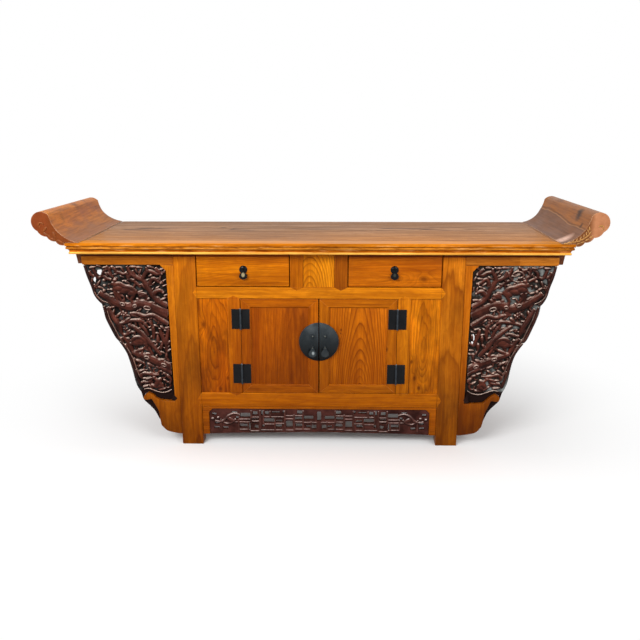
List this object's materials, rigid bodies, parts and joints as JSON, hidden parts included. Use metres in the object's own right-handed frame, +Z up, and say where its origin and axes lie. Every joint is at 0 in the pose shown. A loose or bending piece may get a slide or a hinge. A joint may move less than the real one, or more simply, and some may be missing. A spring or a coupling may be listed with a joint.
{
  "type": "console buffet",
  "caption": "Low altar-coffer console buffet with everted scroll ends, drawers over a pair of iron-hinged doors, carved side wings and a fret apron.",
  "frame": {"origin": "on the floor, under the middle of the overall box", "axes": "+X to the right along the length, +Y to the back, +Z up; the doors face -Y"},
  "size_m": [1.99, 0.545, 0.896],
  "materials": {
    "elm_lacquer": "glossy honey lacquer",
    "elm_top": "worn satin, rubbed tan",
    "inner_wood": "unfinished, matt",
    "dark_carving": "dark stained, rubbed",
    "black_iron": "satin black"
  },
  "bodies": {
    "cabinet": {"top_rail_front": "elm_lacquer", "top_rail_left": "elm_lacquer", "top_rail_right": "elm_lacquer", "leg_front_left": "elm_lacquer", "leg_front_right": "elm_lacquer", "leg_rear_left": "elm_lacquer", "leg_rear_right": "elm_lacquer", "fixed_panel_left": "elm_lacquer", "fixed_panel_right": "elm_lacquer", "side_panel_left": "elm_lacquer", "side_panel_right": "elm_lacquer", "door_post_left": "elm_lacquer", "door_post_right": "elm_lacquer", "drawer_rail": "elm_lacquer", "bottom_rail": "elm_lacquer", "drawer_divider": "elm_lacquer", "apron_frame": "elm_lacquer", "wing_rail_left": "elm_lacquer", "wing_rail_right": "elm_lacquer", "wing_bracket_left": "elm_lacquer", "wing_bracket_right": "elm_lacquer", "end_batten_left": "elm_lacquer", "end_batten_right": "elm_lacquer", "top_panel": "elm_top", "scroll_end_left": "elm_top", "scroll_end_right": "elm_top", "back_panel": "inner_wood", "cabinet_floor": "inner_wood", "drawer_shelf": "inner_wood", "apron_fretwork": "dark_carving", "wing_carving_left": "dark_carving", "wing_carving_right": "dark_carving", "hinge_leaf_upper_left": "black_iron", "hinge_leaf_upper_right": "black_iron", "hinge_leaf_lower_left": "black_iron", "hinge_leaf_lower_right": "black_iron", "hinge_pin_upper_left": "black_iron", "hinge_pin_upper_right": "black_iron", "hinge_pin_lower_left": "black_iron", "hinge_pin_lower_right": "black_iron"},
    "door_left": {"door_frame_left": "elm_lacquer", "door_panel_left": "elm_lacquer", "hinge_door_leaf_upper_left": "black_iron", "hinge_door_leaf_lower_left": "black_iron", "face_plate_left": "black_iron"},
    "door_pull_left": {"door_pull_left": "black_iron"},
    "drawer_left": {"drawer_front_left": "elm_lacquer", "drawer_tray_left": "inner_wood", "drawer_rosette_left": "black_iron"},
    "drawer_pull_left": {"drawer_pull_left": "black_iron"},
    "door_right": {"door_frame_right": "elm_lacquer", "door_panel_right": "elm_lacquer", "hinge_door_leaf_upper_right": "black_iron", "hinge_door_leaf_lower_right": "black_iron", "face_plate_right": "black_iron"},
    "door_pull_right": {"door_pull_right": "black_iron"},
    "drawer_right": {"drawer_front_right": "elm_lacquer", "drawer_tray_right": "inner_wood", "drawer_rosette_right": "black_iron"},
    "drawer_pull_right": {"drawer_pull_right": "black_iron"}
  },
  "joints": [
    {"name": "door_left_hinge", "type": "hinge", "parent": "cabinet", "child": "door_left", "pos_m": [-0.28575, -0.2163, 0.3925], "axis": [0, 0, -1], "range_deg": [0, 160]},
    {"name": "door_pull_left_swing", "type": "hinge", "parent": "door_left", "child": "door_pull_left", "pos_m": [-0.023, -0.2233, 0.393], "axis": [-1, 0, 0], "range_deg": [0, 120]},
    {"name": "drawer_left_slide", "type": "slide", "parent": "cabinet", "child": "drawer_left", "axis": [0, -1, 0], "range_m": [0, 0.28]},
    {"name": "drawer_pull_left_swing", "type": "hinge", "parent": "drawer_left", "child": "drawer_pull_left", "pos_m": [-0.271, -0.22055, 0.682], "axis": [-1, 0, 0], "range_deg": [0, 120]},
    {"name": "door_right_hinge", "type": "hinge", "parent": "cabinet", "child": "door_right", "pos_m": [0.28575, -0.2163, 0.3925], "axis": [0, 0, 1], "range_deg": [0, 160]},
    {"name": "door_pull_right_swing", "type": "hinge", "parent": "door_right", "child": "door_pull_right", "pos_m": [0.023, -0.2233, 0.393], "axis": [-1, 0, 0], "range_deg": [0, 120]},
    {"name": "drawer_right_slide", "type": "slide", "parent": "cabinet", "child": "drawer_right", "axis": [0, -1, 0], "range_m": [0, 0.28]},
    {"name": "drawer_pull_right_swing", "type": "hinge", "parent": "drawer_right", "child": "drawer_pull_right", "pos_m": [0.271, -0.22055, 0.682], "axis": [-1, 0, 0], "range_deg": [0, 120]}
  ]
}
